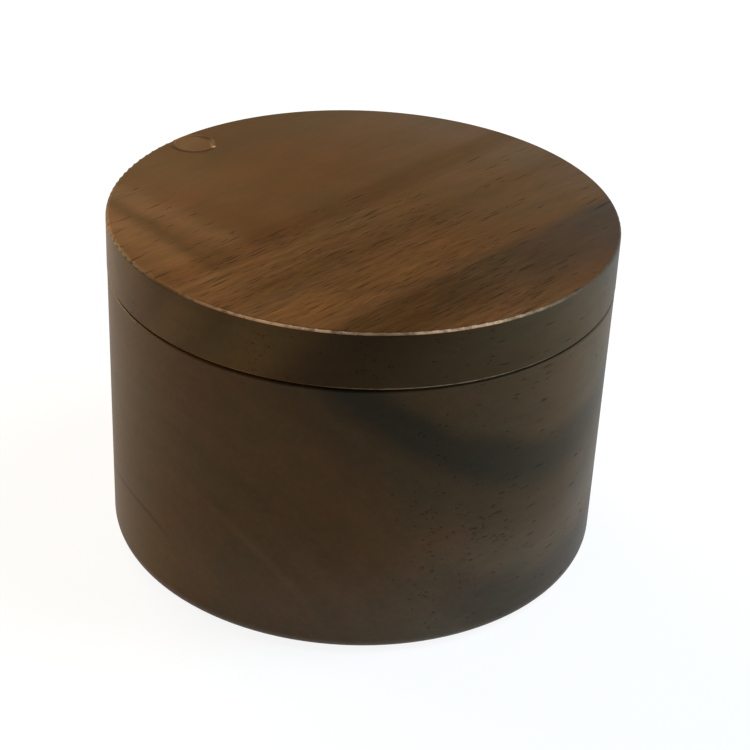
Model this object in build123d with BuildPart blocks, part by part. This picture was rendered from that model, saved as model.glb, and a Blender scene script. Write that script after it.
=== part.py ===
"""Round wooden salt and pepper box with a lid that swivels sideways on a hidden pin.

Frame: millimetres, +Z up, origin at the centre of the flat base. The thumb scoop is at the
front, towards -Y, and the swivel pin is at the back, towards +Y.
"""

from build123d import *
import math
import os

# Outside of the box
lid_diameter = 89.0
lid_thickness = 10.2
lid_overhang = 0.05
lid_top_edge_radius = 0.6
lid_bottom_edge_chamfer = 0.3
body_height = 51.6
body_side_taper = 0.3
body_top_edge_chamfer = 0.2
body_bottom_edge_radius = 3.2
seam_gap = 0.4

# Inside of the box
wall_thickness = 10.8
floor_thickness = 7.0
cavity_floor_radius = 7.0
mouth_edge_radius = 0.8

# Divider board between salt and pepper, glued into two grooves in the wall
divider_thickness = 4.5
divider_groove_depth = 1.2
divider_side_clearance = 0.05
divider_end_clearance = 0.1
divider_drop_below_rim = 0.5
divider_top_edge_radius = 1.0

# Swivel pin
pin_diameter = 4.0
pin_depth_in_lid = 7.0
pin_end_chamfer = 0.5
pin_running_clearance = 0.05
pin_glue_clearance = 0.03
pin_tip_length = 1.8
pin_tip_room = 1.0
glue_groove_width = 0.8
glue_groove_depth = 0.2
glue_groove_pitch = 2.0
glue_groove_count = 2

# Bush that the pin turns in, with slit fingers whose lip snaps into the pin's groove
bush_length = 14.0
bush_wall = 0.8
bush_flange_width = 0.9
bush_flange_thickness = 0.8
bush_fit_clearance = 0.02
finger_length = 5.0
finger_relief = 0.35
finger_slit_width = 0.7
finger_slit_count = 4
snap_lip_height = 0.3
snap_lip_thickness = 0.9
snap_end_clearance = 0.2
snap_groove_clearance = 0.06

# Washer between the rim and the lid
washer_width = 1.6
washer_bore_clearance = 0.15

# Closing magnets, glued flush into the rim and into the lid
magnet_diameter = 6.0
magnet_thickness = 3.0
magnet_edge_chamfer = 0.25
magnet_glue_clearance = 0.05

# Thumb scoop, as a round cutter leaves it when it is tipped towards the middle of the lid
scoop_width = 7.2
scoop_reach = 7.45
scoop_depth = 0.95
scoop_corner_radius = 0.5
scoop_lip_radius = 0.25

# Radii and heights that more than one piece takes from the sizes above
lid_radius = lid_diameter / 2
body_radius = lid_radius - lid_overhang
body_foot_radius = body_radius - body_side_taper
cavity_radius = body_radius - wall_thickness
cavity_depth = body_height - floor_thickness
wall_middle_radius = body_radius - wall_thickness / 2
rim_z = body_height
lid_bottom_z = rim_z + seam_gap
lid_top_z = lid_bottom_z + lid_thickness

pivot_y = wall_middle_radius
pin_radius = pin_diameter / 2
bush_bore_radius = pin_radius + pin_running_clearance
bush_outer_radius = bush_bore_radius + bush_wall
bush_flange_radius = bush_outer_radius + bush_flange_width
bush_bottom_z = rim_z - bush_length
lip_radius = bush_bore_radius - snap_lip_height
lip_top_z = bush_bottom_z + snap_lip_thickness
lip_lead_in_z = lip_top_z + snap_lip_height
snap_groove_bottom_z = bush_bottom_z - snap_end_clearance
snap_groove_top_z = lip_lead_in_z + snap_end_clearance
pin_bottom_z = snap_groove_bottom_z - pin_tip_length
pin_top_z = lid_bottom_z + pin_depth_in_lid

magnet_y = -wall_middle_radius
magnet_radius = magnet_diameter / 2
magnet_pocket_radius = magnet_radius + magnet_glue_clearance

divider_slot_width = divider_thickness + 2 * divider_side_clearance
divider_slot_length = 2 * (cavity_radius + divider_groove_depth)

# Upright plane through the pin, with its first axis along the radius and its second along Z
pivot_plane = Plane(origin=(0, pivot_y, 0), x_dir=(1, 0, 0), z_dir=(0, -1, 0))
pivot_axis = Axis((0, pivot_y, 0), (0, 0, 1))

os.makedirs("parts", exist_ok=True)


# Box body: turned to a side that leans in a little towards its foot, with a round cavity, two
# divider grooves and two blind holes in its rim
bush_hole_depth = rim_z - pin_bottom_z + pin_tip_room

with BuildPart() as box_body:
    with BuildSketch(Plane.XZ):
        with BuildLine():
            Polyline(
                (0, 0),
                (body_foot_radius, 0),
                (body_radius, body_height),
                (0, body_height),
                close=True,
            )
        make_face()
    revolve(axis=Axis.Z)
    fillet(box_body.edges().group_by(Axis.Z)[0], radius=body_bottom_edge_radius)
    chamfer(box_body.edges().group_by(Axis.Z)[-1], length=body_top_edge_chamfer)
    with BuildSketch(Plane.XY.offset(floor_thickness)):
        Circle(cavity_radius)
    extrude(amount=cavity_depth, mode=Mode.SUBTRACT)
    cavity_edges = box_body.edges(Select.LAST).filter_by(GeomType.CIRCLE)
    fillet(cavity_edges.sort_by(Axis.Z)[0], radius=cavity_floor_radius)
    mouth_edges = box_body.edges().filter_by(GeomType.CIRCLE).group_by(Axis.Z)[-1]
    fillet(mouth_edges.sort_by(SortBy.RADIUS)[0], radius=mouth_edge_radius)
    with BuildSketch(Plane.XY.offset(floor_thickness)):
        Rectangle(divider_slot_width, divider_slot_length)
    extrude(amount=cavity_depth, mode=Mode.SUBTRACT)
    with Locations((0, pivot_y, rim_z)):
        CounterBoreHole(
            radius=bush_outer_radius + bush_fit_clearance,
            counter_bore_radius=bush_flange_radius + bush_fit_clearance,
            counter_bore_depth=bush_flange_thickness,
            depth=bush_hole_depth,
        )
    with Locations((0, magnet_y, rim_z)):
        Hole(radius=magnet_pocket_radius, depth=magnet_thickness)

box_body.part.label = "box_body"
export_step(box_body.part, "parts/box_body.step")


# Divider: a flat board that stands on the cavity floor, with its ends in the two grooves
divider_height = cavity_depth - divider_drop_below_rim
divider_length = divider_slot_length - 2 * divider_end_clearance

with BuildPart() as divider:
    with BuildSketch(Plane.XY.offset(floor_thickness)):
        Rectangle(divider_thickness, divider_length)
    extrude(amount=divider_height)
    long_top_edges = divider.edges().group_by(Axis.Z)[-1].filter_by(Axis.Y)
    fillet(long_top_edges, radius=divider_top_edge_radius)

divider.part.label = "divider"
export_step(divider.part, "parts/divider.step")


# Lid: a turned disc with softened edges, a thumb scoop and two blind holes in its underside
scoop_radius = scoop_width / 2
scoop_outer_y = -(lid_radius - lid_top_edge_radius)
scoop_inner_y = -(lid_radius - scoop_reach)
scoop_run = scoop_inner_y - scoop_outer_y
scoop_tilt = math.atan2(scoop_depth, scoop_run)
scoop_floor_length = math.hypot(scoop_run, scoop_depth)
scoop_floor_plane = Plane(
    origin=(0, scoop_outer_y, lid_top_z),
    x_dir=(1, 0, 0),
    z_dir=(0, math.sin(scoop_tilt), math.cos(scoop_tilt)),
)

with BuildPart() as scoop_cutter:
    with BuildSketch(scoop_floor_plane):
        with Locations((0, scoop_floor_length - scoop_radius)):
            Circle(scoop_radius)
    extrude(amount=lid_thickness)
    fillet(scoop_cutter.edges().sort_by(Axis.Z)[0], radius=scoop_corner_radius)

with BuildPart() as lid:
    with BuildSketch(Plane.XY.offset(lid_bottom_z)):
        Circle(lid_radius)
    extrude(amount=lid_thickness)
    fillet(lid.edges().group_by(Axis.Z)[-1], radius=lid_top_edge_radius)
    chamfer(lid.edges().group_by(Axis.Z)[0], length=lid_bottom_edge_chamfer)
    add(scoop_cutter.part, mode=Mode.SUBTRACT)
    lid_top_edges = lid.faces().filter_by(Axis.Z).sort_by(Axis.Z)[-1].edges()
    fillet(lid_top_edges.sort_by(lambda edge: abs(edge.center().Y - scoop_inner_y))[0],
           radius=scoop_lip_radius)
    with Locations(Location((0, pivot_y, lid_bottom_z), (180, 0, 0))):
        Hole(radius=pin_radius + pin_glue_clearance, depth=pin_depth_in_lid)
    with Locations(Location((0, magnet_y, lid_bottom_z), (180, 0, 0))):
        Hole(radius=magnet_pocket_radius, depth=magnet_thickness)

lid.part.label = "lid"
export_step(lid.part, "parts/lid.step")


# Swivel pin: glued into the lid, with a groove near its tip that the bush snaps into
snap_groove_radius = lip_radius - snap_groove_clearance
glue_groove_radius = pin_radius - glue_groove_depth

with BuildPart() as pivot_pin:
    with BuildSketch(Plane.XY.offset(pin_bottom_z)):
        with Locations((0, pivot_y)):
            Circle(pin_radius)
    extrude(amount=pin_top_z - pin_bottom_z)
    chamfer(pivot_pin.edges().filter_by(GeomType.CIRCLE), length=pin_end_chamfer)
    with BuildSketch(Plane.XY.offset(snap_groove_bottom_z)):
        with Locations((0, pivot_y)):
            Circle(pin_diameter)
            Circle(snap_groove_radius, mode=Mode.SUBTRACT)
    extrude(amount=snap_groove_top_z - snap_groove_bottom_z, mode=Mode.SUBTRACT)
    for number in range(1, glue_groove_count + 1):
        with BuildSketch(Plane.XY.offset(lid_bottom_z + number * glue_groove_pitch)):
            with Locations((0, pivot_y)):
                Circle(pin_diameter)
                Circle(glue_groove_radius, mode=Mode.SUBTRACT)
        extrude(amount=glue_groove_width, mode=Mode.SUBTRACT)

pivot_pin.part.label = "pivot_pin"
export_step(pivot_pin.part, "parts/pivot_pin.step")


# Pivot bush: a flanged nylon sleeve, slit at its lower end into fingers with an inward lip
finger_radius = bush_outer_radius - finger_relief
finger_top_z = bush_bottom_z + finger_length
flange_bottom_z = rim_z - bush_flange_thickness

with BuildPart() as pivot_bush:
    with BuildSketch(pivot_plane):
        with BuildLine():
            Polyline(
                (lip_radius, bush_bottom_z),
                (finger_radius, bush_bottom_z),
                (finger_radius, finger_top_z),
                (bush_outer_radius, finger_top_z + finger_relief),
                (bush_outer_radius, flange_bottom_z),
                (bush_flange_radius, flange_bottom_z),
                (bush_flange_radius, rim_z),
                (bush_bore_radius, rim_z),
                (bush_bore_radius, lip_lead_in_z),
                (lip_radius, lip_top_z),
                close=True,
            )
        make_face()
    revolve(axis=pivot_axis)
    with BuildSketch(Plane.XY.offset(bush_bottom_z)):
        with Locations((0, pivot_y)):
            with PolarLocations(finger_radius, finger_slit_count):
                Rectangle(finger_radius, finger_slit_width)
    extrude(amount=finger_length, mode=Mode.SUBTRACT)

pivot_bush.part.label = "pivot_bush"
export_step(pivot_bush.part, "parts/pivot_bush.step")


# Pivot washer: fills the seam gap round the pin, so that the lid turns clear of the rim
washer_bore_radius = pin_radius + washer_bore_clearance

with BuildPart() as pivot_washer:
    with BuildSketch(Plane.XY.offset(rim_z)):
        with Locations((0, pivot_y)):
            Circle(washer_bore_radius + washer_width)
            Circle(washer_bore_radius, mode=Mode.SUBTRACT)
    extrude(amount=seam_gap)

pivot_washer.part.label = "pivot_washer"
export_step(pivot_washer.part, "parts/pivot_washer.step")


# Magnets: two nickel-plated discs that face each other across the seam when the lid is shut
with BuildPart() as body_magnet:
    with BuildSketch(Plane.XY.offset(rim_z - magnet_thickness)):
        with Locations((0, magnet_y)):
            Circle(magnet_radius)
    extrude(amount=magnet_thickness)
    chamfer(body_magnet.edges().filter_by(GeomType.CIRCLE), length=magnet_edge_chamfer)

body_magnet.part.label = "body_magnet"
export_step(body_magnet.part, "parts/body_magnet.step")

with BuildPart() as lid_magnet:
    with BuildSketch(Plane.XY.offset(lid_bottom_z)):
        with Locations((0, magnet_y)):
            Circle(magnet_radius)
    extrude(amount=magnet_thickness)
    chamfer(lid_magnet.edges().filter_by(GeomType.CIRCLE), length=magnet_edge_chamfer)

lid_magnet.part.label = "lid_magnet"
export_step(lid_magnet.part, "parts/lid_magnet.step")


print("outside diameter and height", lid_diameter, lid_top_z)
print("cavity diameter and depth", 2 * cavity_radius, cavity_depth)
print("swivel pin diameter, length and distance from the middle", pin_diameter,
      pin_top_z - pin_bottom_z, pivot_y)
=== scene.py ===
"""Looks of the round wooden salt and pepper box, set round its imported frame.

The box is dark figured hardwood, turned, sanded and oiled to a satin finish. Everything is in
metres with +Z up, and the wood figure is worked out in millimetres, with the grain along X.
"""

import math

import bpy
from mathutils import Matrix, Vector


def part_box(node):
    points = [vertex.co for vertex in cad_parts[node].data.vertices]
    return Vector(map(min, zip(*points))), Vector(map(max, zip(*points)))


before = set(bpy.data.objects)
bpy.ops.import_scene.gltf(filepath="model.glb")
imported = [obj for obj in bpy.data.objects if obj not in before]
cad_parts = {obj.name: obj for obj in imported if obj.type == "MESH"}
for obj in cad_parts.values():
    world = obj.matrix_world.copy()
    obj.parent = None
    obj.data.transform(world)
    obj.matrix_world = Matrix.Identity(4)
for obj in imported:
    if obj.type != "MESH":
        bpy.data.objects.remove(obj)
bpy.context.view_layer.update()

mm = 0.001


# Camera. It looks down on the lid from the side where the pin is, so that the scoop shows at the
# upper left. Its roll and aim are those of a photograph taken by hand.
camera_lens_mm = 97.14
camera_distance = 367.3 * mm
camera_turn = math.radians(38.4)
camera_elevation = math.radians(30.09)
camera_roll = math.radians(2.74)
camera_orbit_centre = Vector((0.0, 0.0, 28.93 * mm))
camera_aim = Vector((-2.02 * mm, 2.52 * mm, 29.11 * mm))


def direction(turn, elevation):
    """A unit vector that points at this turn from +X and this elevation, both in radians."""
    level = math.cos(elevation)
    return Vector((level * math.cos(turn), level * math.sin(turn), math.sin(elevation)))


def facing(place, target):
    """The matrix of a camera or lamp that stands at a place and looks at a target."""
    turned = (target - place).to_track_quat("-Z", "Y").to_matrix().to_4x4()
    return Matrix.Translation(place) @ turned


camera_data = bpy.data.cameras.new("camera")
camera_data.lens = camera_lens_mm
camera = bpy.data.objects.new("camera", camera_data)
bpy.context.scene.collection.objects.link(camera)
camera_place = camera_orbit_centre + camera_distance * direction(camera_turn, camera_elevation)
camera.matrix_world = facing(camera_place, camera_aim) @ Matrix.Rotation(camera_roll, 4, "Z")
bpy.context.scene.camera = camera


# Box body. A block of dark hardwood turned round, with a hollow, two grooves for the divider and
# blind holes in its rim. The tree's rings run through it as slow curves, round a pith below it.
def add_node(tree, kind, inputs=(), **settings):
    """Adds a shader node, sets its properties, and fills or links its inputs by name or number."""
    node = tree.nodes.new(kind)
    for name, value in settings.items():
        setattr(node, name, value)
    for key, value in dict(inputs).items():
        if isinstance(value, bpy.types.NodeSocket):
            tree.links.new(value, node.inputs[key])
        else:
            node.inputs[key].default_value = value
    return node


def calc(tree, operation, *values):
    """A Math node's result."""
    return add_node(tree, "ShaderNodeMath", enumerate(values), operation=operation).outputs[0]


def calc_vector(tree, operation, *values):
    """A Vector Math node's vector result."""
    node = add_node(tree, "ShaderNodeVectorMath", enumerate(values), operation=operation)
    return node.outputs["Vector"]


def length_of(tree, vector):
    """How long a vector is."""
    return add_node(tree, "ShaderNodeVectorMath", {0: vector}, operation="LENGTH").outputs["Value"]


def axes_of(tree, vector):
    """A vector's X, Y and Z, each by its name."""
    return add_node(tree, "ShaderNodeSeparateXYZ", {0: vector}).outputs


def vector_of(tree, x, y, z):
    """The vector with these X, Y and Z."""
    return add_node(tree, "ShaderNodeCombineXYZ", {"X": x, "Y": y, "Z": z}).outputs["Vector"]


def levelled(tree, place):
    """A place seen from above, with its height left out."""
    return calc_vector(tree, "MULTIPLY", place, (1.0, 1.0, 0.0))


def product(tree, *shares):
    """Shares multiplied together: 1 only where all of them are."""
    total = shares[0]
    for share in shares[1:]:
        total = calc(tree, "MULTIPLY", total, share)
    return total


def ramp(tree, value, start, end, low=0.0, high=1.0):
    """A soft step, from low where the value is at start to high where it is at end."""
    inputs = {"Value": value, "From Min": start, "From Max": end, "To Min": low, "To Max": high}
    node = add_node(tree, "ShaderNodeMapRange", inputs, interpolation_type="SMOOTHSTEP")
    return node.outputs["Result"]


def ramps(tree, axes, steps):
    """The product of soft steps along a place's axes, each given by its axis and its ramp."""
    return product(tree, *(ramp(tree, axes[axis], *step) for axis, *step in steps))


def band(tree, value, start, full, fade, gone):
    """A soft band: 1 from where it is full to where it starts to fade, and 0 beyond its ends."""
    return product(tree, ramp(tree, value, start, full), ramp(tree, value, gone, fade))


def stripe(tree, value, centre, half_width, core=0.0):
    """A soft stripe: 1 at the centre and within the core, falling to 0 a half width away."""
    away = calc(tree, "ABSOLUTE", calc(tree, "SUBTRACT", value, centre))
    return ramp(tree, away, half_width, core)


def blend(tree, share, first, second, kind="MIX"):
    """The first colour with a share of the second mixed in."""
    inputs = {0: share, 6: first, 7: second}
    return add_node(tree, "ShaderNodeMix", inputs, data_type="RGBA", blend_type=kind).outputs[2]


def stain(tree, colour, tint, *shares):
    """The colour multiplied by a tint, as far as the product of the shares goes."""
    return blend(tree, product(tree, *shares), colour, tint, "MULTIPLY")


def noise(tree, place, grain, output="Fac"):
    """Smooth noise of a grain: its features for each unit of the place, detail and roughness."""
    features, detail, roughness = grain
    inputs = {
        "Vector": calc_vector(tree, "MULTIPLY", place, features), "Scale": 1.0,
        "Detail": detail, "Roughness": roughness,
    }
    return add_node(tree, "ShaderNodeTexNoise", inputs).outputs[output]


def bend(tree, place, grain, reach):
    """A length that sways with the place, up to half its reach each way."""
    return calc(tree, "MULTIPLY_ADD", noise(tree, place, grain), reach, -reach / 2)


def wander(tree, place, guide, grain, reach):
    """The place moved by noise at a guiding place, up to half this reach each way."""
    wave = noise(tree, guide, grain, "Color")
    push = calc_vector(tree, "SUBTRACT", wave, (0.5, 0.5, 0.5))
    return calc_vector(tree, "ADD", place, calc_vector(tree, "MULTIPLY", push, reach))


# How near the middle of its cell a pore starts and is fully dark, in cells
pore_step = (0.40, 0.12)


def pores(tree, place, length, width, share):
    """Cut vessels: slim dark dashes along the grain, in this share of the cells they lie in."""
    cells = add_node(tree, "ShaderNodeTexVoronoi", {
        "Vector": calc_vector(tree, "DIVIDE", place, vector_of(tree, length, width, width)),
        "Scale": 1.0, "Randomness": 1.0,
    }).outputs
    dash = ramp(tree, cells["Distance"], *pore_step)
    pick = add_node(tree, "ShaderNodeSeparateColor", {0: cells["Color"]}).outputs[0]
    return product(tree, dash, calc(tree, "LESS_THAN", pick, share))


def start_group(name, inputs, outputs):
    """A new node group with these sockets, and its inputs by name."""
    group = bpy.data.node_groups.new(name, "ShaderNodeTree")
    for in_out, sockets in (("INPUT", inputs), ("OUTPUT", outputs)):
        for socket, kind in sockets.items():
            group.interface.new_socket(socket, in_out=in_out, socket_type="NodeSocket" + kind)
    return group, add_node(group, "NodeGroupInput").outputs


# Grains of the figure, each with its features for a millimetre along X, Y and Z, its detail and its
# roughness. The rings have one number for the features, along their radius
sway_grain = ((0.012, 0.028, 0.028), 1.0, 0.5)
ripple_grain = ((0.13, 0.4, 0.4), 1.0, 0.5)
ring_grain = (0.17, 3.0, 0.6)
fibre_grain = ((0.10, 0.95, 0.95), 4.0, 0.62)
hair_grain = ((0.25, 4.5, 4.5), 2.0, 0.6)
drift_grain = ((0.02, 0.05, 0.05), 2.0, 0.5)
mottle_grain = ((0.10, 0.22, 0.22), 3.0, 0.6)
row_grain = ((0.05, 0.75, 0.75), 2.0, 0.5)

# How far the rings sway and ripple across the grain
sway_reach_mm = (0.0, 3.0, 3.0)
ripple_reach_mm = (0.0, 0.9, 0.9)

# What rings, fibres and hair weigh in the tone, from deep wood at 0 to light wood at 1, and what
# brings the streaks and the tone to their middle
ring_weight = 0.5
fibre_weight = 2.2
hair_weight = 1.2
streak_middle = -1.7
tone_middle = 0.25

# Where the drift and the mottle of the colour start and are full, and their tints
drift_step = (0.4, 0.7)
drift_tint = (1.06, 0.97, 0.92, 1.0)
mottle_step = (0.34, 0.66)
mottle_dark = (0.94, 0.98, 0.97, 1.0)
mottle_light = (1.06, 1.02, 1.03, 1.0)

# Pores come in two sizes, in millimetres across, and lie in rows, where the wood grew fast. There
# are few between the rows, and more than their share in them
row_step = (0.47, 0.60, 0.06, 3.0)
long_pore_width = 0.70
short_pore_width = 0.55
short_pore_length_share = 0.45
pore_strength = 0.75
pore_tint = (0.50, 0.38, 0.20, 1.0)

# The satin surface, and what hair and pores add to its roughness and to its relief
satin_roughness = 0.36
hair_roughness = 0.16
pore_roughness = 0.2
hair_relief = 0.25
pore_relief = -1.0


def make_hardwood_group():
    """Oiled hardwood in the round: fibres along X, rings round the pith, and open pores."""
    group, given = start_group("oiled_hardwood", {
        "Place": "Vector", "Pith": "Vector", "Light Wood": "Color", "Deep Wood": "Color",
        "Figure": "Float", "Pore Share": "Float", "Pore Length": "Float",
    }, {
        "Color": "Color", "Roughness": "Float", "Height": "Float", "Ring Radius": "Float",
        "Wandered Place": "Vector",
    })
    place = given["Place"]
    wandered = wander(group, place, place, sway_grain, sway_reach_mm)
    from_pith = calc_vector(group, "SUBTRACT", wandered, given["Pith"])
    ring_radius = length_of(group, calc_vector(group, "MULTIPLY", from_pith, (0.0, 1.0, 1.0)))
    features, detail, roughness = ring_grain
    rings = add_node(group, "ShaderNodeTexNoise", {
        "W": ring_radius, "Scale": features, "Detail": detail, "Roughness": roughness,
    }, noise_dimensions="1D").outputs["Fac"]

    rippled = wander(group, wandered, place, ripple_grain, ripple_reach_mm)
    fibre = noise(group, rippled, fibre_grain)
    hair = noise(group, rippled, hair_grain)
    streaks = calc(group, "MULTIPLY_ADD", hair, hair_weight, streak_middle)
    streaks = calc(group, "MULTIPLY_ADD", fibre, fibre_weight, streaks)
    tone = calc(group, "MULTIPLY_ADD", streaks, given["Figure"], tone_middle)
    tone = calc(group, "MULTIPLY_ADD", rings, ring_weight, tone)
    wood = blend(group, tone, given["Deep Wood"], given["Light Wood"])

    drift = ramp(group, noise(group, place, drift_grain), *drift_step)
    wood = stain(group, wood, drift_tint, drift)
    mottle = ramp(group, noise(group, place, mottle_grain), *mottle_step)
    wood = stain(group, wood, blend(group, mottle, mottle_dark, mottle_light), 1.0)

    rows = ramp(group, noise(group, rippled, row_grain), *row_step)
    share = product(group, given["Pore Share"], rows)
    long_pores = pores(group, rippled, given["Pore Length"], long_pore_width, share)
    short_length = calc(group, "MULTIPLY", given["Pore Length"], short_pore_length_share)
    short_pores = pores(group, rippled, short_length, short_pore_width, share)
    all_pores = calc(group, "MAXIMUM", long_pores, short_pores)
    wood = stain(group, wood, pore_tint, all_pores, pore_strength)

    rough = calc(group, "MULTIPLY_ADD", all_pores, pore_roughness, satin_roughness)
    cut = calc(group, "MULTIPLY", all_pores, pore_relief)
    add_node(group, "NodeGroupOutput", {
        "Color": wood, "Roughness": calc(group, "MULTIPLY_ADD", hair, hair_roughness, rough),
        "Height": calc(group, "MULTIPLY_ADD", hair, hair_relief, cut),
        "Ring Radius": ring_radius, "Wandered Place": wandered,
    })
    return group


hardwood_group = make_hardwood_group()
bump_depth = 0.05 * mm
oil_gloss = 0.06


def start_material(name):
    """A new material and its empty tree."""
    material = bpy.data.materials.new(name)
    material.use_nodes = True
    material.node_tree.nodes.clear()
    return material, material.node_tree


def object_place(tree):
    """Where a point of the surface lies, in metres."""
    return add_node(tree, "ShaderNodeTexCoord").outputs["Object"]


def object_place_mm(tree):
    """Where a point of the surface lies, in millimetres."""
    return calc_vector(tree, "MULTIPLY", object_place(tree), (1.0 / mm, 1.0 / mm, 1.0 / mm))


def hardwood(tree, place, pith_mm, light, deep, figure, pore_share, pore_length_mm):
    """The hardwood at a place in the tree, as the outputs of its group."""
    return add_node(tree, "ShaderNodeGroup", {
        "Place": place, "Pith": pith_mm, "Light Wood": light, "Deep Wood": deep,
        "Figure": figure, "Pore Share": pore_share, "Pore Length": pore_length_mm,
    }, node_tree=hardwood_group).outputs


def carry_normal(tree, normal, start, end):
    """A normal carried over from one space to another."""
    return add_node(
        tree, "ShaderNodeVectorTransform", {0: normal},
        vector_type="NORMAL", convert_from=start, convert_to=end).outputs[0]


def turned_normal(tree, place, share):
    """The surface's normal, made truly round about the box's axis where the share is 1."""
    given = add_node(tree, "ShaderNodeNewGeometry").outputs["Normal"]
    flat = carry_normal(tree, given, "WORLD", "OBJECT")
    rise = axes_of(tree, flat)["Z"]
    run_squared = calc(tree, "SUBTRACT", 1.0, calc(tree, "MULTIPLY", rise, rise))
    run = calc(tree, "SQRT", calc(tree, "MAXIMUM", 0.0, run_squared))
    out = axes_of(tree, calc_vector(tree, "NORMALIZE", levelled(tree, place)))
    out_x = calc(tree, "MULTIPLY", out["X"], run)
    out_y = calc(tree, "MULTIPLY", out["Y"], run)
    mixed = add_node(tree, "ShaderNodeMix", {
        0: share, 4: flat, 5: vector_of(tree, out_x, out_y, rise),
    }, data_type="VECTOR").outputs[1]
    return carry_normal(tree, mixed, "OBJECT", "WORLD")


def finish_surface(tree, inputs):
    """Ends a material's tree in a Principled shader with these inputs."""
    surface = add_node(tree, "ShaderNodeBsdfPrincipled", inputs)
    add_node(tree, "ShaderNodeOutputMaterial", {"Surface": surface.outputs["BSDF"]})


def finish_wood(tree, colour, wood, normal=None):
    """Joins the wood to an oiled, satin surface, over the given normal if there is one."""
    relief = {"Strength": 1.0, "Distance": bump_depth, "Height": wood["Height"]}
    if normal:
        relief["Normal"] = normal
    finish_surface(tree, {
        "Base Color": colour, "Roughness": wood["Roughness"], "Specular IOR Level": oil_gloss,
        "Normal": add_node(tree, "ShaderNodeBump", relief).outputs["Normal"],
    })


def dress(node_name, material):
    """Puts a material on every slot of a CAD node."""
    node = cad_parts[node_name]
    if not node.material_slots:
        node.data.materials.append(material)
    for slot in node.material_slots:
        slot.material = material


body_low, body_high = (Vector(corner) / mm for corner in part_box("box_body"))
body_radius_mm = (body_high.x - body_low.x) / 2

body_pith_mm = (0.0, -12.0, -12.2)
body_light = (0.105, 0.057, 0.0230, 1.0)
body_deep = (0.065, 0.035, 0.0142, 1.0)
body_figure = 0.35
body_pore_share = 0.23
body_pore_length_mm = 6.0

body_wood, body_tree = start_material("body_wood")
body_place = object_place_mm(body_tree)
body_axes = axes_of(body_tree, body_place)

# Its pores are open only towards the back, most of all below the middle. Here and below, a step
# has its axis, where it starts and is full in millimetres, and what it starts from if not 0
body_open_steps = (
    ("Y", 31.0, 38.0), ("Z", 34.0, 28.0, 0.35), ("Z", 8.0, 14.0, 0.2), ("X", -4.0, 8.0, 0.15),
)
body_open = product(body_tree, ramps(body_tree, body_axes, body_open_steps), body_pore_share)
body_grown = hardwood(
    body_tree, body_place, body_pith_mm, body_light, body_deep, body_figure, body_open,
    body_pore_length_mm)
body_colour = body_grown["Color"]

# Rings that stand out, in millimetres: radius at Y = 0, how much it grows for each millimetre of Y,
# half width of its core and where it has faded, then the Y where it starts, is full, starts to fade
# and has faded, and its tint
body_rings = (
    (25.4, -0.18, 0.1, 0.7, (-34.0, -28.0, -12.0, -2.0), (0.62, 0.52, 0.36, 1.0)),
    (40.2, 0.0, 0.2, 1.3, (0.0, 9.0, 16.0, 26.0), (1.12, 1.09, 1.09, 1.0)),
    (52.6, 0.0, 0.2, 1.6, (-10.0, 0.0, 8.0, 18.0), (1.08, 1.06, 1.06, 1.0)),
    (36.4, 0.50, 0.8, 3.6, (34.0, 43.0, 60.0, 61.0), (0.61, 0.62, 0.67, 1.0)),
)
for ring_radius, growth, core, faded, reach, tint in body_rings:
    upright = calc(body_tree, "MULTIPLY_ADD", body_axes["Y"], -growth, body_grown["Ring Radius"])
    ring = stripe(body_tree, upright, ring_radius, faded, core)
    there = band(body_tree, body_axes["Y"], *reach)
    body_colour = stain(body_tree, body_colour, tint, ring, there)

# A dark vein slants down through the block in a dusky halo. Both are flat sheets of the tree, so
# they are placed by how far out they lie along a line that rises at this angle towards +Y. Each has
# the places where it starts, is full, starts to fade and has faded, its ramp along X and its tint
vein_rise = math.radians(42.1)
vein_bend_grain = ((0.06, 0.10, 0.10), 2.0, 0.5)
vein_bend_reach_mm = 1.6
vein_sheets = (
    ((41.5, 48.5, 63.0, 69.0), (-4.0, 22.0, 0.55, 1.0), (0.74, 0.79, 0.82, 1.0)),
    ((48.9, 53.9, 55.8, 59.3), (-16.0, 24.0, 0.52, 0.92), (0.40, 0.54, 0.72, 1.0)),
)
vein_out = bend(body_tree, body_place, vein_bend_grain, vein_bend_reach_mm)
vein_out = calc(body_tree, "MULTIPLY_ADD", body_axes["Y"], math.cos(vein_rise), vein_out)
vein_out = calc(body_tree, "MULTIPLY_ADD", body_axes["Z"], math.sin(vein_rise), vein_out)
for reach, along, tint in vein_sheets:
    sheet = band(body_tree, vein_out, *reach)
    there = ramp(body_tree, body_axes["X"], *along)
    body_colour = stain(body_tree, body_colour, tint, sheet, there)

# Painted light over the side, each with its tint and its steps: paler near the foot, a painted
# reflection of the pale floor; towards -Y an olive painted light and low down a yellower one, from
# the left; and beyond the pin a painted pale sheen high up and a greyer painted sheen above the
# foot
body_painted_light_casts = (
    ((1.38, 1.62, 2.28, 1.0), (("Z", 26.0, 2.0), ("Y", -10.0, 16.0, 0.3))),
    ((0.99, 1.06, 0.97, 1.0), (("Y", 0.0, -16.0),)),
    ((0.86, 0.81, 0.38, 1.0), (("Y", 4.0, -18.0), ("Z", 42.0, 18.0))),
    ((1.22, 1.22, 1.24, 1.0), (("X", 14.0, -8.0), ("Z", 33.0, 39.0), ("Y", 16.0, 32.0))),
    ((1.00, 1.14, 1.34, 1.0), (("X", 0.0, -10.0), ("Z", 12.0, 20.0), ("Y", 16.0, 32.0))),
)
for tint, steps in body_painted_light_casts:
    body_colour = stain(body_tree, body_colour, tint, ramps(body_tree, body_axes, steps))

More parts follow.
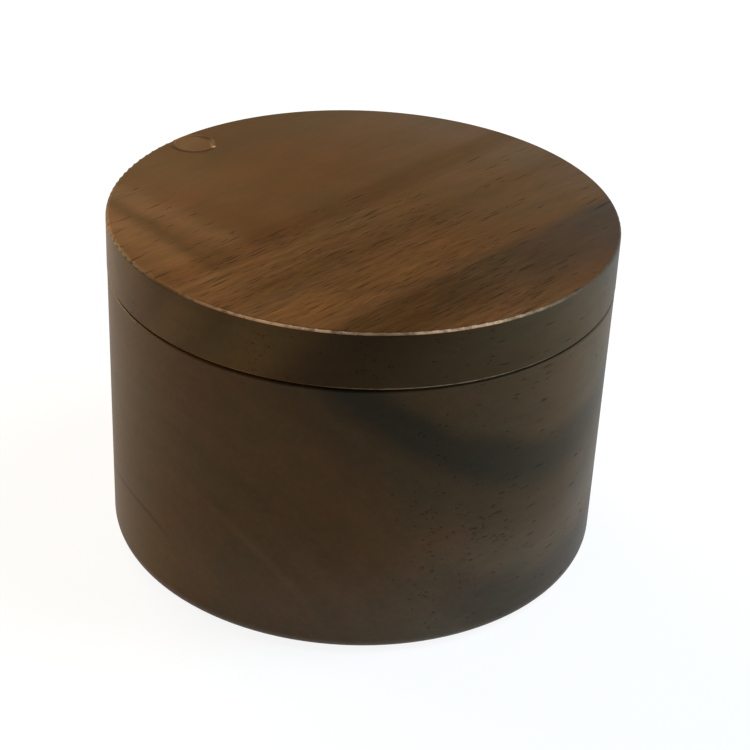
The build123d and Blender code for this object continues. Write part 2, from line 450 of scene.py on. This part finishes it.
# Between the two dark bands it is paler too, towards the back and round a middle height
between_tint = (1.11, 1.09, 1.18, 1.0)
between_step = (31.0, 39.0)
between_height = 20.0
between_half_height = 12.0
between_back = ramp(body_tree, body_axes["Y"], *between_step)
between_low = stripe(body_tree, body_axes["Z"], between_height, between_half_height)
body_colour = stain(body_tree, body_colour, between_tint, between_back, between_low)

# The lathe left its outside truly round, up to its softened corner, which is a little greyer. The
# flat of the rim, which the lid covers, is painted paler, as painted light against the shade in the
# seam. These steps are in millimetres inwards from the outside, or down from the rim
outside_inwards = (1.6, 1.3)
corner_down = (0.28, 0.18)
corner_tint = (0.98, 1.06, 1.20, 1.0)
seam_lift_inwards = (0.45, 0.65)
seam_lift_down = (0.22, 0.08)
seam_lift_tint = (2.1, 1.9, 1.6, 1.0)
body_inwards = calc(
    body_tree, "SUBTRACT", body_radius_mm, length_of(body_tree, levelled(body_tree, body_place)))
body_down = calc(body_tree, "SUBTRACT", body_high.z, body_axes["Z"])
body_outside = ramp(body_tree, body_inwards, *outside_inwards)
body_corner = ramp(body_tree, body_down, *corner_down)
body_colour = stain(body_tree, body_colour, corner_tint, body_corner, body_outside)
# Painted light: the flat of the rim is made paler against the shade in the seam
body_flat = ramp(body_tree, body_inwards, *seam_lift_inwards)
body_rim = ramp(body_tree, body_down, *seam_lift_down)
body_colour = stain(body_tree, body_colour, seam_lift_tint, body_flat, body_rim)
finish_wood(
    body_tree, body_colour, body_grown, turned_normal(body_tree, body_place, body_outside))
dress("box_body", body_wood)


# Divider. A thin board of the same hardwood, planed, slid into the two grooves and glued. Its
# grain runs level along its length.
divider_pith_mm = (0.0, 60.0, 20.0)
divider_light = (0.125, 0.066, 0.028, 1.0)
divider_deep = (0.060, 0.032, 0.014, 1.0)
divider_figure = 0.8
divider_pore_share = 0.4
divider_pore_length_mm = 12.0

divider_wood, divider_tree = start_material("divider_wood")
divider_grown = hardwood(
    divider_tree, object_place_mm(divider_tree), divider_pith_mm, divider_light, divider_deep,
    divider_figure, divider_pore_share, divider_pore_length_mm)
finish_wood(divider_tree, divider_grown["Color"], divider_grown)
dress("divider", divider_wood)


# Lid. A disc cut from a flat-sawn board of the same hardwood, with the grain straight across it,
# its edges softened and a thumb scoop cut near the rim. The stripes run right through the board.
lid_low, lid_high = (Vector(corner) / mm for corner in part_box("lid"))
lid_radius_mm = (lid_high.x - lid_low.x) / 2

# The board comes from another place in the tree than the block
lid_shift_mm = Vector((31.0, 0.0, 7.0))
lid_pith_mm = Vector((0.0, 8.0, 260.0)) + lid_shift_mm
lid_light = (0.135, 0.063, 0.0225, 1.0)
lid_deep = (0.075, 0.0342, 0.0120, 1.0)
lid_pore_share = 0.75
lid_pore_length_mm = 9.0

lid_wood, lid_tree = start_material("lid_wood")
lid_place = object_place_mm(lid_tree)
lid_axes = axes_of(lid_tree, lid_place)
lid_x, lid_y, lid_z = lid_axes["X"], lid_axes["Y"], lid_axes["Z"]

# The grain is turned a little off the X axis: it falls by this much of Y for each millimetre of X
lid_grain_fall = 0.065
lid_grain_y = calc(lid_tree, "MULTIPLY_ADD", lid_x, lid_grain_fall, lid_y)
lid_grain_place = vector_of(lid_tree, lid_x, lid_grain_y, lid_z)

# The turned side shows little of the figure: its pores are filled with dust and oil. It starts and
# is full this far in from the outside
lid_side_inwards = (0.5, 0.1)
lid_side_quiet = 0.92
lid_level = levelled(lid_tree, lid_place)
lid_inwards = calc(lid_tree, "SUBTRACT", lid_radius_mm, length_of(lid_tree, lid_level))
lid_side = ramp(lid_tree, lid_inwards, *lid_side_inwards)
lid_face = calc(lid_tree, "SUBTRACT", 1.0, calc(lid_tree, "MULTIPLY", lid_side, lid_side_quiet))

# The figure is coarse and open on the side of the pin, less so at the end at +X, and quiet towards
# -X and everywhere else
pin_side_step = (-7.0, 1.0)
end_step = (18.0, 26.0, 0.0, 0.28)
quiet_step = (-16.0, 10.0, 0.10)
quiet_figure = 0.2
coarse_figure = 0.9
lid_coarse = calc(
    lid_tree, "MAXIMUM", ramp(lid_tree, lid_grain_y, *pin_side_step),
    ramp(lid_tree, lid_x, *end_step))
lid_coarse = product(lid_tree, lid_coarse, ramp(lid_tree, lid_x, *quiet_step), lid_face)
lid_figure = calc(lid_tree, "MULTIPLY_ADD", lid_coarse, coarse_figure, quiet_figure)
lid_grown = hardwood(
    lid_tree, calc_vector(lid_tree, "ADD", lid_grain_place, lid_shift_mm), lid_pith_mm,
    lid_light, lid_deep, lid_figure, product(lid_tree, lid_coarse, lid_pore_share),
    lid_pore_length_mm)
lid_colour = lid_grown["Color"]

# Stripes across the grain, in millimetres of Y: where each starts, is full, starts to fade and
# has faded, and its tints at the +X end and at the -X end
lid_stripes = (
    (-8.0, -5.0, -3.0, 0.0, (0.82, 0.75, 0.60, 1.0), (0.83, 0.81, 0.72, 1.0)),
    (-1.0, 1.0, 4.0, 6.5, (1.08, 1.07, 0.96, 1.0), (1.04, 1.06, 1.04, 1.0)),
    (6.0, 8.5, 10.0, 13.0, (0.87, 0.84, 0.65, 1.0), (0.89, 0.91, 0.87, 1.0)),
    (14.0, 17.0, 22.0, 25.0, (1.17, 1.12, 0.94, 1.0), (1.03, 1.04, 1.05, 1.0)),
    (24.0, 27.8, 33.0, 46.0, (0.62, 0.58, 0.43, 1.0), (0.63, 0.79, 1.20, 1.0)),
    (34.0, 37.5, 42.0, 48.0, (1.20, 1.24, 1.32, 1.0), (1.00, 0.98, 1.10, 1.0)),
)

# They lean by this much of Y for each millimetre of depth, and blur by this much on the side. The
# step runs from the +X end to the -X end
lid_dip = 0.7
lid_blur_mm = 3.0
far_end_step = (32.0, -22.0)
lid_depth = calc(lid_tree, "SUBTRACT", lid_high.z, lid_z)
lid_wandered_y = axes_of(lid_tree, lid_grown["Wandered Place"])["Y"]
lid_across = calc(lid_tree, "MULTIPLY_ADD", lid_depth, lid_dip, lid_wandered_y)
lid_blur = calc(lid_tree, "MULTIPLY", lid_side, lid_blur_mm)
lid_end = ramp(lid_tree, lid_x, *far_end_step)
for start, full, fade, gone, near_tint, far_tint in lid_stripes:
    soft_start = calc(lid_tree, "SUBTRACT", start, lid_blur)
    soft_full = calc(lid_tree, "ADD", full, lid_blur)
    soft_gone = calc(lid_tree, "ADD", gone, lid_blur)
    there = band(lid_tree, lid_across, soft_start, soft_full, fade, soft_gone)
    tint = blend(lid_tree, lid_end, near_tint, far_tint)
    lid_colour = stain(lid_tree, lid_colour, tint, there)

# Curl: soft bands across the grain near the end at +X. Each has its X at the middle of the lid, how
# far it leans, its half width and its tint
lid_curls = (
    (17.5, 0.0, 5.0, (0.97, 0.91, 0.88, 1.0)),
    (25.3, 0.0, 4.6, (1.30, 1.33, 1.46, 1.0)),
    (35.0, 0.21, 2.8, (0.78, 0.79, 0.78, 1.0)),
    (37.5, 0.1, 5.5, (1.36, 1.36, 1.42, 1.0)),
)
curl_bend_grain = ((0.08, 0.12, 0.12), 2.0, 0.5)
curl_bend_reach_mm = 3.0
curl_step = (4.0, -7.0)
curl_bent_x = calc(
    lid_tree, "ADD", lid_x, bend(lid_tree, lid_place, curl_bend_grain, curl_bend_reach_mm))
curl_there = ramp(lid_tree, lid_y, *curl_step)
for curl_centre, lean, half_width, tint in lid_curls:
    curl_x = calc(lid_tree, "MULTIPLY_ADD", lid_y, -lean, curl_bent_x)
    curl = stripe(lid_tree, curl_x, curl_centre, half_width)
    lid_colour = stain(lid_tree, lid_colour, tint, curl, curl_there)

# Casts: a painted grey-blue sheen towards -X, more of it on its top alone, redder and then a
# painted paler light towards +X, and towards the scoop duller at -X and paler at +X. Each has its
# tint, its share on the turned side and its steps
lid_sheen_and_tone_casts = (
    ((1.12, 1.40, 2.00, 1.0), 0.2, (("X", 0.0, -42.0),)),
    ((1.04, 1.13, 1.34, 1.0), 0.0, (("X", -26.0, -42.0),)),
    ((1.02, 0.94, 0.86, 1.0), 1.0, (("X", 0.0, 22.0),)),
    ((1.18, 1.12, 1.10, 1.0), 1.0, (("X", 22.0, 42.0),)),
    ((0.86, 0.90, 0.96, 1.0), 1.0, (("X", 12.0, -2.0), ("Y", -12.0, -36.0))),
    ((1.03, 1.14, 1.40, 1.0), 1.0, (("X", 2.0, 16.0), ("Y", -12.0, -36.0))),
)
for tint, side_share, steps in lid_sheen_and_tone_casts:
    there = calc(lid_tree, "MULTIPLY_ADD", lid_side, side_share - 1.0, 1.0)
    lid_colour = stain(lid_tree, lid_colour, tint, ramps(lid_tree, lid_axes, steps), there)

# The turned side is painted darker and less red, as shade against the lit top, darker still where
# the dark stripe of the figure comes out of it, and beyond that it carries a painted pale sheen. A
# soft place has a middle and a half width: the dusk in millimetres of the grain's Y, and the sheen
# beyond it, as all turns here, in degrees from +X round the middle of the lid
side_shade_tint = (0.70, 0.95, 1.05, 1.0)
dusk_place = (34.0, 22.0)
dusk_tint = (0.58, 0.56, 0.60, 1.0)
beyond_sheen_place = (112.0, 46.0)
beyond_sheen_tint = (1.68, 1.60, 1.62, 1.0)
lid_turn = calc(lid_tree, "MULTIPLY", calc(lid_tree, "ARCTAN2", lid_y, lid_x), math.degrees(1.0))
lid_dusk = stripe(lid_tree, lid_grain_y, *dusk_place)
lid_beyond_sheen = stripe(lid_tree, lid_turn, *beyond_sheen_place)
lid_colour = stain(lid_tree, lid_colour, side_shade_tint, lid_side)
lid_colour = stain(lid_tree, lid_colour, dusk_tint, lid_side, lid_dusk)
lid_colour = stain(lid_tree, lid_colour, beyond_sheen_tint, lid_side, lid_beyond_sheen)

# The scoop's floor is painted paler, as painted light falling into it, its near lip has a thin
# painted highlight, outside which is painted shade, and its far wall is painted paler against its
# shade. Rings round its middle have a radius and a half width, and the steps run along the
# direction of the near lip
scoop_centre = (0.0, -40.7, 0.0)
scoop_radius = 3.6
scoop_edge = (scoop_radius + 0.10, scoop_radius - 0.10)
scoop_lit_tint = (1.75, 1.75, 1.85, 1.0)
lip_direction = (0.78, 0.62, 0.0)
near_step = (1.4, 2.8)
far_step = (1.4, -0.6)
lip_shade_ring = (scoop_radius + 0.65, 0.7)
lip_shade_tint = (0.48, 0.40, 0.32, 1.0)
lip_highlight_ring = (scoop_radius, 0.4)
lip_highlight_tint = (1.35, 1.30, 1.20, 1.0)
scoop_wall_ring = (scoop_radius - 0.05, 0.35)
scoop_wall_lift_tint = (1.25, 1.25, 1.25, 1.0)

from_scoop = calc_vector(lid_tree, "SUBTRACT", lid_level, scoop_centre)
scoop_away = length_of(lid_tree, from_scoop)
scoop_across = add_node(
    lid_tree, "ShaderNodeVectorMath", {0: from_scoop, 1: lip_direction},
    operation="DOT_PRODUCT").outputs["Value"]
scoop_near = ramp(lid_tree, scoop_across, *near_step)
scoop_far = ramp(lid_tree, scoop_across, *far_step)
scoop_inside = ramp(lid_tree, scoop_away, *scoop_edge)
lip_shade = stripe(lid_tree, scoop_away, *lip_shade_ring)
lip_highlight = stripe(lid_tree, scoop_away, *lip_highlight_ring)
scoop_wall = stripe(lid_tree, scoop_away, *scoop_wall_ring)
lid_colour = stain(lid_tree, lid_colour, scoop_lit_tint, scoop_inside)
lid_colour = stain(lid_tree, lid_colour, lip_shade_tint, lip_shade, scoop_near)
lid_colour = stain(lid_tree, lid_colour, lip_highlight_tint, lip_highlight, scoop_near)
lid_colour = stain(lid_tree, lid_colour, scoop_wall_lift_tint, scoop_wall, scoop_far)

# A painted highlight: a small pale spot at the end of that lip
glint_place = (-1.2, -36.95, 0.0)
glint_edge = (0.7, 0.25)
glint_colour = (0.40, 0.27, 0.17, 1.0)
glint_away = length_of(lid_tree, calc_vector(lid_tree, "SUBTRACT", lid_level, glint_place))
glint = ramp(lid_tree, glint_away, *glint_edge)
lid_colour = blend(lid_tree, glint, lid_colour, glint_colour)

# The top rim is faintly worn pale all round and has a painted highlight at two places on the side
# of the pin, and the bottom rim has a painted highlight on that side. Each rim has the radius of
# its softened edge and how far the pale line reaches from there, in millimetres
rim_glint_top = (0.80, 0.42, 0.21, 1.0)
rim_glint_bottom = (0.24, 0.18, 0.12, 1.0)
rim_glint_turns = ((23.0, 30.0), (63.0, 29.0))
rim_glint_below_turn = (66.0, 46.0)
rubbed_least = 0.05
top_softening = 0.18
top_reach = 0.32
bottom_softening = 0.1
bottom_reach = 0.35
glinting_worn_edge_step = (1.0, 0.5)
glinting_worn_grain = ((0.55, 0.55, 0.8), 4.0, 0.7)
glinting_worn_step = (0.36, 0.60, 0.35)


def make_glinting_worn_edge_group():
    """A mask that is 1 on a round edge that is worn pale and carries a painted highlight, and
    broken up along it.
    """
    group, given = start_group("glinting_worn_edge", {
        "Place": "Vector", "Edge Radius": "Float", "Edge Height": "Float", "Reach": "Float",
    }, {"Mask": "Float"})
    place = given["Place"]
    radius = length_of(group, levelled(group, place))
    out = calc(group, "SUBTRACT", radius, given["Edge Radius"])
    up = calc(group, "SUBTRACT", axes_of(group, place)["Z"], given["Edge Height"])
    away = length_of(group, vector_of(group, out, up, 0.0))
    near = ramp(group, calc(group, "DIVIDE", away, given["Reach"]), *glinting_worn_edge_step)
    broken = ramp(group, noise(group, place, glinting_worn_grain), *glinting_worn_step)
    add_node(group, "NodeGroupOutput", {"Mask": product(group, near, broken)})
    return group


glinting_worn_edge_group = make_glinting_worn_edge_group()


def glinting_worn_edge(tree, place, radius_mm, height_mm, reach_mm):
    """The mask of one edge that is worn pale and carries a painted highlight."""
    return add_node(tree, "ShaderNodeGroup", {
        "Place": place, "Edge Radius": radius_mm, "Edge Height": height_mm, "Reach": reach_mm,
    }, node_tree=glinting_worn_edge_group).outputs["Mask"]


top_rim = glinting_worn_edge(
    lid_tree, lid_place, lid_radius_mm - top_softening, lid_high.z - top_softening, top_reach)
bottom_rim = glinting_worn_edge(
    lid_tree, lid_place, lid_radius_mm - bottom_softening, lid_low.z + bottom_softening,
    bottom_reach)
rim_glint_places = calc(lid_tree, "MAXIMUM", *(
    stripe(lid_tree, lid_turn, middle, half_width) for middle, half_width in rim_glint_turns))
rim_glint_and_wear = calc(lid_tree, "ADD", rim_glint_places, rubbed_least)
rim_glint_below = stripe(lid_tree, lid_turn, *rim_glint_below_turn)
# Painted highlight along the top rim over faint wear, and a painted highlight along the bottom rim
lid_colour = blend(lid_tree, product(lid_tree, top_rim, rim_glint_and_wear), lid_colour, rim_glint_top)
lid_colour = blend(lid_tree, product(lid_tree, bottom_rim, rim_glint_below), lid_colour, rim_glint_bottom)

# Its underside is painted paler too, up to this far, as painted light against the shade in the
# seam, and the lathe left its side truly round, from this far in
seam_lift_up = (0.32, 0.10)
wall_inwards = (0.06, 0.03)
lid_up = calc(lid_tree, "SUBTRACT", lid_z, lid_low.z)
lid_colour = stain(lid_tree, lid_colour, seam_lift_tint, ramp(lid_tree, lid_up, *seam_lift_up))
lid_wall = ramp(lid_tree, lid_inwards, *wall_inwards)
finish_wood(lid_tree, lid_colour, lid_grown, turned_normal(lid_tree, lid_place, lid_wall))
dress("lid", lid_wood)


# Swivel pin. A ground steel dowel with turned grooves, glued upright in a blind hole in the lid. It
# is the axle that the lid swivels on, and runs down into the bush.
pin_colour = (0.60, 0.60, 0.61, 1.0)
turning_grain = ((400.0, 400.0, 9000.0), 3.0, 0.6)
turning_depth = 0.01 * mm
turning_shade = 0.8
turning_roughness = 0.15


def metal(name, colour, roughness, brushed):
    """Plain metal with fine turning marks round an upright axis."""
    material, tree = start_material(name)
    marks = noise(tree, object_place(tree), turning_grain)
    relief = {"Strength": brushed, "Distance": turning_depth, "Height": marks}
    darker = tuple(turning_shade * part for part in colour[:3]) + (1.0,)
    finish_surface(tree, {
        "Base Color": blend(tree, marks, colour, darker), "Metallic": 1.0,
        "Roughness": calc(tree, "MULTIPLY_ADD", marks, turning_roughness, roughness),
        "Normal": add_node(tree, "ShaderNodeBump", relief).outputs["Normal"],
    })
    return material


pin_steel = metal("pin_steel", pin_colour, roughness=0.25, brushed=0.6)
dress("pivot_pin", pin_steel)


# Magnets. Two nickel-plated discs, pressed flush into the rim and the lid with a drop of glue. They
# face each other opposite the pin, and hold the lid shut.
magnet_colour = (0.52, 0.51, 0.48, 1.0)
magnet_nickel = metal("magnet_nickel", magnet_colour, roughness=0.30, brushed=0.2)
dress("body_magnet", magnet_nickel)
dress("lid_magnet", magnet_nickel)


# Bush and washer. Moulded natural nylon, a little cloudy. The bush is pressed into the rim and the
# pin turns in it, and the washer lies loose round the pin, between rim and lid.
nylon_dark = (0.60, 0.56, 0.46, 1.0)
nylon_light = (0.70, 0.66, 0.56, 1.0)
nylon_roughness = 0.35
cloud_grain = ((900.0, 900.0, 900.0), 3.0, 0.5)
cloud_roughness = 0.2

bush_nylon, nylon_tree = start_material("bush_nylon")
nylon_clouds = noise(nylon_tree, object_place(nylon_tree), cloud_grain)
finish_surface(nylon_tree, {
    "Base Color": blend(nylon_tree, nylon_clouds, nylon_dark, nylon_light),
    "Roughness": calc(nylon_tree, "MULTIPLY_ADD", nylon_clouds, cloud_roughness, nylon_roughness),
})
dress("pivot_bush", bush_nylon)
dress("pivot_washer", bush_nylon)


# Stage. A plain pale floor that reads white round the box and keeps its soft shadow, and four soft
# studio lamps: two warm ones at the left and behind it, and two cool ones at the right.
floor_size = 4.0
white = (1.0, 1.0, 1.0, 1.0)
floor_pale = (0.80, 0.80, 0.80, 1.0)
floor_seen_grey = (0.14, 0.14, 0.14, 1.0)
floor_seen_glow = 0.89

bpy.ops.object.select_all(action="DESELECT")
bpy.ops.mesh.primitive_plane_add(size=floor_size, location=(0.0, 0.0, 0.0))
floor = bpy.context.object
floor.name = "floor"


def ray_kinds(tree):
    """1 for rays straight from the camera, and 1 for those that come by way of gloss or glass."""
    rays = add_node(tree, "ShaderNodeLightPath").outputs
    mirrored = calc(tree, "MAXIMUM", rays["Is Glossy Ray"], rays["Is Transmission Ray"])
    return rays["Is Camera Ray"], mirrored


floor_paint, floor_tree = start_material("floor_paint")
floor_seen = calc(floor_tree, "MAXIMUM", *ray_kinds(floor_tree))
floor_matt = add_node(floor_tree, "ShaderNodeBsdfDiffuse", {
    "Color": blend(floor_tree, floor_seen, floor_pale, floor_seen_grey),
})
floor_glow = add_node(floor_tree, "ShaderNodeEmission", {
    "Color": white, "Strength": calc(floor_tree, "MULTIPLY", floor_seen, floor_seen_glow),
})
floor_sum = add_node(floor_tree, "ShaderNodeAddShader", {
    0: floor_matt.outputs["BSDF"], 1: floor_glow.outputs["Emission"],
})
add_node(floor_tree, "ShaderNodeOutputMaterial", {"Surface": floor_sum.outputs["Shader"]})
floor.data.materials.append(floor_paint)

# The world is white to the camera. It lights the box with an even fill, and gloss sees it white at
# the horizon and dim overhead
world_fill = 0.20
world_overhead = 0.08
world_horizon = (0.0, 0.14)
world = bpy.data.worlds.new("studio")
bpy.context.scene.world = world
world.use_nodes = True
world_tree = world.node_tree
world_tree.nodes.clear()
world_camera, world_mirrored = ray_kinds(world_tree)
world_direction = add_node(world_tree, "ShaderNodeTexCoord").outputs["Generated"]
world_up = axes_of(world_tree, world_direction)["Z"]
world_backdrop = ramp(world_tree, world_up, *world_horizon, 1.0, world_overhead)
world_extra = calc(world_tree, "SUBTRACT", world_backdrop, world_fill)
world_level = calc(world_tree, "MULTIPLY_ADD", world_mirrored, world_extra, world_fill)
world_light = add_node(world_tree, "ShaderNodeBackground", {
    "Color": white, "Strength": calc(world_tree, "MAXIMUM", world_level, world_camera),
})
add_node(world_tree, "ShaderNodeOutputWorld", {"Surface": world_light.outputs["Background"]})

# Lamps: turn from the camera's right hand and elevation in degrees, power in watts and colour
lamps = (
    ("left_lamp", 150.0, 12.0, 6.85, (1.0, 0.84, 0.51)),
    ("back_lamp", 120.0, 35.0, 4.79, (1.0, 0.70, 0.28)),
    ("low_right_lamp", 0.0, 12.0, 5.48, (0.39, 0.69, 1.0)),
    ("high_right_lamp", 0.0, 60.0, 5.17, (0.57, 0.79, 1.0)),
)
lamp_distance = 0.9
lamp_width = 0.45
lamp_aim = Vector((0.0, 0.0, 0.03))
for name, turn, elevation, power, colour in lamps:
    lamp_data = bpy.data.lights.new(name, "AREA")
    lamp_data.shape = "DISK"
    lamp_data.size = lamp_width
    lamp_data.energy = power
    lamp_data.color = colour
    lamp = bpy.data.objects.new(name, lamp_data)
    bpy.context.scene.collection.objects.link(lamp)
    lamp_turn = camera_turn + math.radians(turn + 90.0)
    lamp_place = lamp_aim + lamp_distance * direction(lamp_turn, math.radians(elevation))
    lamp.matrix_world = facing(lamp_place, lamp_aim)

bpy.context.scene.view_settings.view_transform = "Standard"
